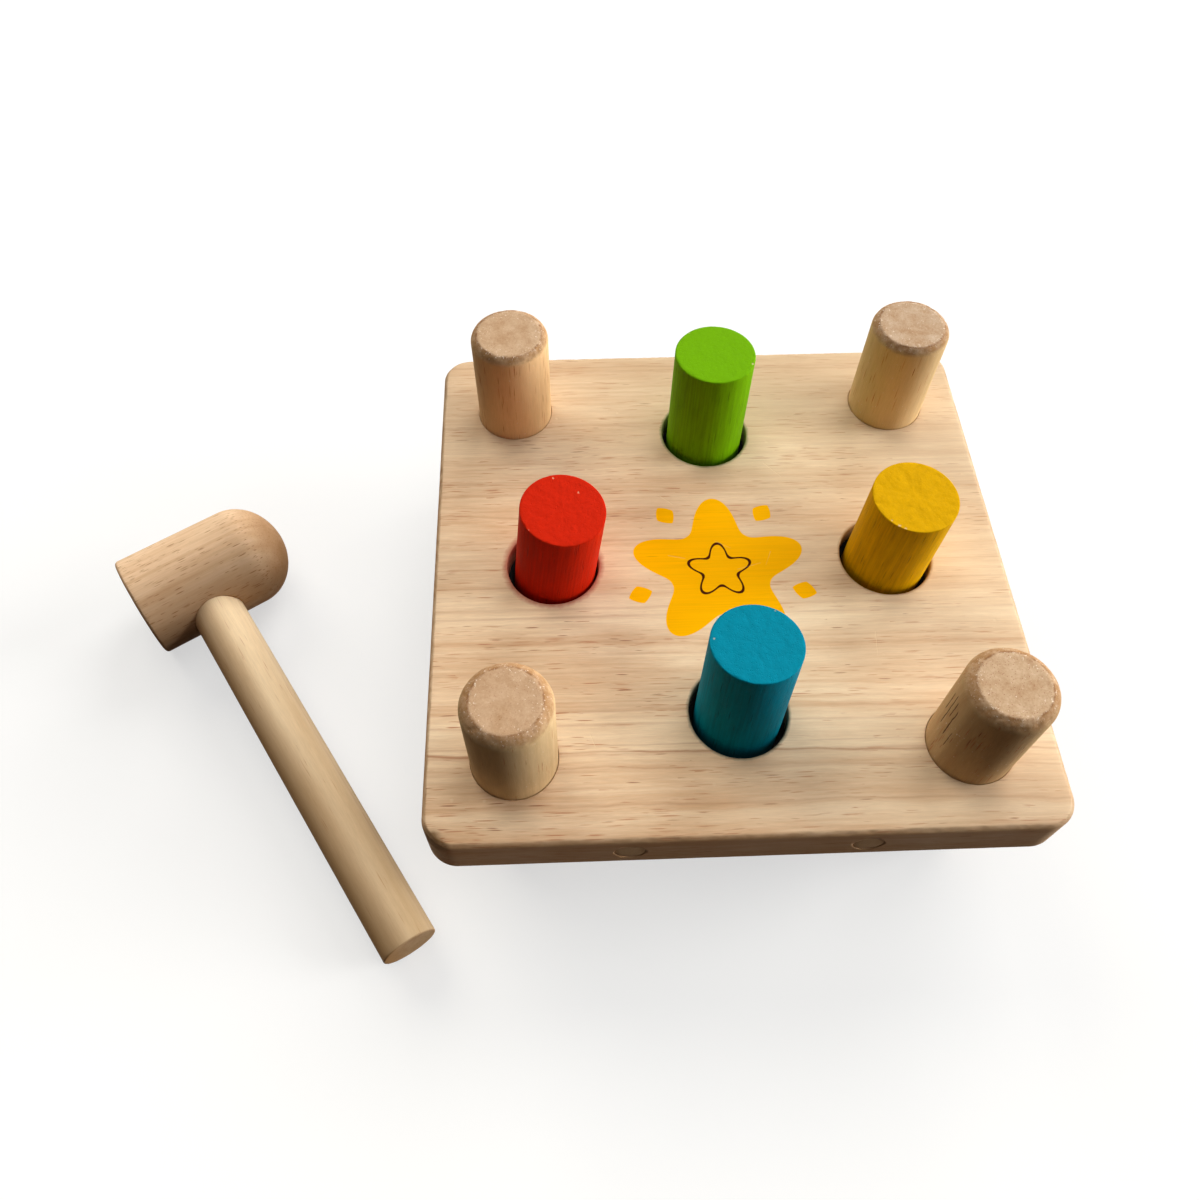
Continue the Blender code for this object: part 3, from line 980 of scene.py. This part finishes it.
def paint_material(name, top, seed):
    """Water-based paint that lets the wood's grain through, with chips round the top."""
    tree = new_material(name + "_peg_paint")
    paint = PAINTS[name]
    place, facing = grain_frame(tree, "Z")
    streaks = tree.noise(place, (30, 0.8, 0.8), seed, 4.0, 0.6)
    mottle = tree.noise(place, (12, 2.2, 2.2), seed + 4, 4.0, 0.6)
    shade = tree.scaled(streaks, 0.6, tree.times(mottle, 0.4))
    side = tree.fit(facing, 0.8, 0.3)
    shade = tree.times(tree.minus(shade, 0.5), tree.fit(side, 0.0, 1.0, 0.35, 1.0))
    deep = linear([channel * 0.9 for channel in paint])
    pale = linear([min(255, channel * 1.05 + 3) for channel in paint])
    colour = tree.mix(tree.fit(shade, -0.14, 0.14), deep, pale)
    pores = pore_mask(tree, place, (12, 0.75, 0.75), 0.5, 0.36, seed)
    dark = linear([channel * 0.55 for channel in paint])
    colour = tree.mix(tree.times(tree.times(pores, side), 0.6), colour, dark)
    ragged = tree.noise(place, (0.7, 0.7, 0.7), seed, 3.0)
    level = tree.absolute(tree.scaled(ragged, 1.2, tree.split(place)[0]))
    # Rubber marks and painted shade: a dark band round the ring's level, which blackens the gap in the hole.
    rubbed_and_shaded = tree.fit(level, DARK_BAND_REACH - 4.0, DARK_BAND_REACH + 0.4, 0.6, 0.0)
    colour = tree.tint(colour, rubbed_and_shaded, RUBBER_MARK_AND_SHADE)
    chips = 0.0
    for x, y, size in CHIPS[name]:
        distance = tree.vector("DISTANCE", place, (top / MM, x, y))
        distance = tree.scaled(ragged, size * 1.6, distance)
        chips = tree.larger(chips, shape_mask(tree, distance, size * 1.4, 0.3))
    colour = tree.tint(colour, tree.times(chips, 0.5), CHIPPED_WOOD)
    relief = tree.noise(place, (1.3, 1.3, 1.3), seed + 8, 4.0, 0.65)
    relief = tree.minus(relief, tree.larger(pores, chips))
    rough = tree.fit(mottle, 0.3, 0.7, 0.5, 0.64)
    return tree.surface(colour, PAINT_SHINE, rough, tree.bump(relief, 0.6, 0.2))


def rubber_material():
    tree = new_material("black_rubber")
    place, _ = grain_frame(tree, "Z")
    dust = tree.noise(place, (1.2, 1.2, 1.2), 0, 3.0)
    colour = tree.mix(tree.fit(dust, 0.4, 0.8), linear(RUBBER_BLACK), linear(RUBBER_DUST))
    return tree.surface(colour, RUBBER_SHINE, tree.fit(dust, 0.3, 0.7, 0.7, 0.85))


# Pieces


def install(piece, node, body, material):
    """Puts a piece in a CAD node's stead."""
    piece.data.materials.clear()
    piece.data.materials.append(material)
    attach(piece, body)
    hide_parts(node)


def centre_of(node):
    low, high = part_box(node)
    return (low + high) / 2


def build_board():
    low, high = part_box("board")
    centre = (low + high) / 2
    peg_holes = [(centre_of(name + "_grip_ring") - centre).xy for name in COLOURS]
    post_holes = [(centre_of(name + "_post") - centre).xy for name in CORNERS]
    half = (high.x - low.x) / 2
    board = make_board("board_panel", centre, half, (high.z - low.z) / 2, peg_holes, post_holes)
    for corner in CORNERS:
        dowel = centre_of(corner + "_edge_dowel")
        side = math.copysign(1, dowel.y - centre.y)
        low_end = -DOWEL_LENGTH / 2 - GLUE_LINE
        high_end = CUTTER_OVERRUN - low_end
        bore_radius = DOWEL_RADIUS + DOWEL_GAP
        profile = rod_profile(bore_radius, low_end, high_end, DOWEL_END_ROUND, CUTTER_STEP, arc_steps=2)
        bore = turn("bore", profile, DOWEL_SIDES, no_wear)
        bore.location = dowel
        bore.rotation_euler = (-side * math.pi / 2, 0, 0)
        bpy.context.view_layer.update()
        cut(board, bore)
    install(board, "board", "bench", board_material(peg_holes))


def build_posts():
    for number, corner in enumerate(CORNERS):
        node = corner + "_post"
        low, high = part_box(node)
        half = (high.z - low.z) / 2
        rounding = POST_END_ROUND[corner]
        profile = rod_profile(POST_RADIUS, -half, half, rounding, POST_STEP, 14, POST_END_CREASE)
        wear = wear_map(number + 1, side=0.03, rim=0.3, face=0.08)
        post = turn(node + "_rod", profile, POST_SIDES, wear)
        post.location = (low + high) / 2
        install(post, node, "bench", post_material(corner, 11 + number))


def build_dowels():
    for number, corner in enumerate(CORNERS):
        node = corner + "_edge_dowel"
        low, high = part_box(node)
        centre = (low + high) / 2
        side = math.copysign(1, centre.y - centre_of("board").y)
        half = (high.y - low.y) / 2
        profile = rod_profile(DOWEL_RADIUS, -half, half, DOWEL_END_ROUND, ROD_STEP, arc_steps=3)
        wear = wear_map(number + 31, side=0.0, rim=0.05, face=0.03)
        dowel = turn(node + "_rod", profile, DOWEL_SIDES, wear)
        dowel.location = centre
        dowel.rotation_euler = (-side * math.pi / 2, 0, 0)
        material = rod_material(node + "_wood", 41 + number, end=(222, 188, 148), end_dark=(204, 168, 128))
        install(dowel, node, "bench", material)


def build_rings():
    rubber = rubber_material()
    for name in COLOURS:
        node = name + "_grip_ring"
        low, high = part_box(node)
        section = (high.z - low.z) / 2
        pressed = section + RING_SQUEEZE / 2
        bpy.ops.mesh.primitive_torus_add(
            major_segments=RING_SIDES,
            minor_segments=RING_SECTION_SIDES,
            major_radius=(high.x - low.x) / 2 - pressed,
            minor_radius=pressed,
            location=(low + high) / 2,
        )
        ring = bpy.context.object
        ring.name = node + "_band"
        ring.data.transform(Matrix.Diagonal((1, 1, section / pressed, 1)))
        ring.data.shade_smooth()
        install(ring, node, "bench", rubber)


def slide_axis(name):
    joint = next(joint for joint in frame["joints"] if joint["child"] == name)
    return Vector(joint["axis"]).normalized()


# Depth and spacing of the dents that the mallet left in each peg's top, in millimetres
DENTS = {
    "green": (0.10, 2.6),
    "red": (0.22, 2.2),
    "yellow": (0.34, 4.6),
    "blue": (0.20, 3.2),
}


def build_pegs():
    for number, name in enumerate(COLOURS):
        node = name + "_peg"
        axis = slide_axis(node)
        origin = centre_of(name + "_grip_ring")
        along = [(v.co - origin).dot(axis) for v in frame["nodes"][node].data.vertices]
        profile = rod_profile(PEG_RADIUS, min(along), max(along), PEG_EDGE_ROUND, PEG_STEP, arc_steps=4)
        depth, spacing = DENTS[name]
        wear = wear_map(number + 51, side=0.02, rim=0.15, face=depth, dent_size=spacing)
        peg = turn(node + "_rod", profile, PEG_SIDES, wear)
        peg.location = origin
        peg.rotation_mode = "QUATERNION"
        peg.rotation_quaternion = Vector((0, 0, 1)).rotation_difference(axis)
        install(peg, node, node, paint_material(name, max(along), number + 61))


def head_profile():
    """The mallet head's outline from its flat face up to its dome, measured from the handle's axis."""
    face = -HEAD_FACE_TO_HANDLE
    shoulder = HEAD_LENGTH - HEAD_FACE_TO_HANDLE - HEAD_DOME_LENGTH
    points = [(r, face) for r in spread(0, HEAD_RADIUS - HEAD_FACE_ROUND, HEAD_STEP)[:-1]]
    for inset, depth, _ in rounded_edge(HEAD_FACE_ROUND, HEAD_FACE_ARC_STEPS):
        points.append((HEAD_RADIUS - inset, face + depth))
    points += [(HEAD_RADIUS, z) for z in spread(face + HEAD_FACE_ROUND, shoulder, HEAD_STEP)[1:-1]]
    for i in range(HEAD_DOME_ARC_STEPS + 1):
        angle = math.pi / 2 * i / HEAD_DOME_ARC_STEPS
        radius = HEAD_RADIUS * math.cos(angle) if i < HEAD_DOME_ARC_STEPS else 0
        points.append((radius, shoulder + HEAD_DOME_LENGTH * math.sin(angle)))
    return points


HEAD_LOOK = {
    "pith": (14.0, 40.0),
    "rings": (0.3, 0.72),
    "patches": 0.9,
    "light": (250, 221, 187),
    "dark": (208, 168, 130),
    "pores": 1.6,
    "fewest_pores": 0.4,
    "hair": (146, 94, 56),
    "hair_dark": 0.85,
    "hair_cell": (5.6, 0.66, 0.66),
    "pore_dark": 0.4,
    "end": (214, 176, 138),
    "end_dark": (186, 146, 108),
    "end_pores": 0.6,
}

HANDLE_LOOK = {
    "pith": (-6.0, 22.0),
    "rings": (0.15, 0.7),
    "patches": 1.0,
    "light": (250, 225, 188),
    "dark": (226, 195, 154),
    "pores": 0.35,
    "hair_dark": 0.5,
    "pore_dark": 0.4,
}


def head_material():
    """The head's wood, with brown painted shade on its lower side."""
    tree = new_material("mallet_head_wood")
    place, _, colour, height = wood(tree, "Z", dict(ROD_LOOK, seed=72, **HEAD_LOOK))
    ragged = tree.noise(place, (30, 9, 9), 5, 3.0)
    # Painted shade: the head turns brown towards its lower side.
    shaded_side = tree.vector("DOT_PRODUCT", place, (0.0, 0.5, -0.8))
    shaded_side = tree.scaled(ragged, 9.0, shaded_side)
    colour = tree.tint(colour, tree.fit(shaded_side, 22, -8, 0.0, 0.5), LOWER_SIDE_SHADE)
    return finish_wood(tree, place, colour, height, 0.55)


def handle_material():
    """The handle's wood, browner on one side with painted shade, and darker towards its free end."""
    tree = new_material("mallet_handle_wood")
    place, _, colour, height = wood(tree, "Z", dict(ROD_LOOK, seed=83, **HANDLE_LOOK))
    along, side, _ = tree.split(place)
    # Painted shade: one side of the handle turns brown.
    colour = tree.tint(colour, tree.fit(side, 0, 9, 0.0, 0.6), HANDLE_SIDE_SHADE)
    # Darker towards the handle's free end.
    ragged = tree.noise(place, (30, 12, 12), 6, 3.0)
    grip = tree.scaled(ragged, 60.0, along)
    colour = tree.tint(colour, tree.fit(grip, 60, 190, 0.0, 0.4), HANDLE_END_DARKENING)
    return finish_wood(tree, place, colour, height, 0.55)


def build_mallet():
    drop = math.asin((HEAD_RADIUS - HANDLE_RADIUS) / HANDLE_REACH)
    placed = Matrix.Translation(MALLET_PLACE) @ Euler((-drop, 0, MALLET_TURN)).to_matrix().to_4x4()
    wear = wear_map(71, side=0.04, rim=0.12, face=0.05)
    head = turn("mallet_head_block", head_profile(), HEAD_SIDES, wear)
    level = Matrix.Translation(MALLET_PLACE) @ Matrix.Rotation(MALLET_TURN, 4, "Z")
    head.matrix_world = level @ Matrix.Rotation(-math.pi / 2, 4, "Y")
    to_handle = placed @ Matrix.Rotation(-math.pi / 2, 4, "X")
    bore_radius = HANDLE_RADIUS + GLUE_LINE
    low_end = -TENON_PAST_AXIS - GLUE_LINE
    high_end = HEAD_RADIUS + CUTTER_OVERRUN
    profile = rod_profile(bore_radius, low_end, high_end, MORTISE_FLOOR_ROUND, CUTTER_STEP, arc_steps=2)
    bore = turn("bore", profile, MORTISE_SIDES, no_wear)
    bore.matrix_world = to_handle
    bpy.context.view_layer.update()
    cut(head, bore)
    install(head, "mallet_head", "mallet", head_material())
    profile = rod_profile(HANDLE_RADIUS, -TENON_PAST_AXIS, HANDLE_REACH, HANDLE_END_ROUND, ROD_STEP, 6)
    wear = wear_map(81, side=0.04, rim=0.1, face=0.05)
    handle = turn("mallet_handle_rod", profile, HANDLE_SIDES, wear)
    handle.matrix_world = to_handle
    install(handle, "mallet_handle", "mallet", handle_material())


# Studio


def seen_directly(tree):
    """1 for what the camera sees, also in a mirror or through glass, and 0 for other light."""
    path = tree.add("LightPath").outputs
    seen = tree.larger(path["Is Camera Ray"], path["Is Glossy Ray"])
    return tree.larger(seen, path["Is Transmission Ray"])


def build_floor():
    """A white floor that sends little light back up to the object."""
    mesh = new_mesh("floor", [(-3, -3, 0), (3, -3, 0), (3, 3, 0), (-3, 3, 0)], [(0, 1, 2, 3)])
    floor = add_object("floor", mesh)
    tree = new_material("floor_paper")
    tree.nodes.remove(tree.nodes["Principled BSDF"])
    seen = seen_directly(tree)
    paper = tree.add("BsdfDiffuse")
    tree.put(paper.inputs["Color"], tree.mix(seen, FLOOR_BOUNCE, FLOOR_PAPER))
    glow = tree.add("Emission")
    tree.put(glow.inputs["Color"], tree.mix(seen, (0, 0, 0, 1), FLOOR_GLOW))
    both = tree.add("AddShader", ((0, paper.outputs[0]), (1, glow.outputs[0])))
    tree.put(tree.nodes["Material Output"].inputs["Surface"], both.outputs[0])
    mesh.materials.append(tree.owner)


def add_window(name, azimuth, elevation, width, strength, colour):
    """A wide soft source. At strength 1 a white surface that faces it is white.

    Angles are in degrees, and azimuth runs from +X towards +Y.
    """
    lamp = bpy.data.lights.new(name, "SUN")
    lamp.angle = math.radians(width)
    lamp.energy = math.pi * strength
    lamp.color = colour
    obj = add_object(name, lamp)
    obj.rotation_euler = (math.radians(90 - elevation), 0, math.radians(90 + azimuth))


def build_lights():
    for window in WINDOWS:
        add_window(*window)
    world = bpy.data.worlds.new("studio")
    tree = Tree(world)
    colour = tree.mix(seen_directly(tree), ROOM_LIGHT, (1, 1, 1, 1))
    tree.put(tree.nodes["Background"].inputs["Color"], colour)
    bpy.context.scene.world = world


def build_camera():
    data = bpy.data.cameras.new("camera")
    data.lens = CAMERA_LENS
    data.shift_x, data.shift_y = CAMERA_SHIFT
    camera = add_object("camera", data)
    right, up = Vector(CAMERA_RIGHT), Vector(CAMERA_UP)
    turned = Matrix((right, up, right.cross(up))).transposed().to_4x4()
    camera.matrix_world = Matrix.Translation(CAMERA_PLACE) @ turned
    bpy.context.scene.camera = camera


build_board()
build_posts()
build_dowels()
build_rings()
build_pegs()
build_mallet()
build_floor()
build_lights()
build_camera()
bpy.context.scene.view_settings.view_transform = "Standard"
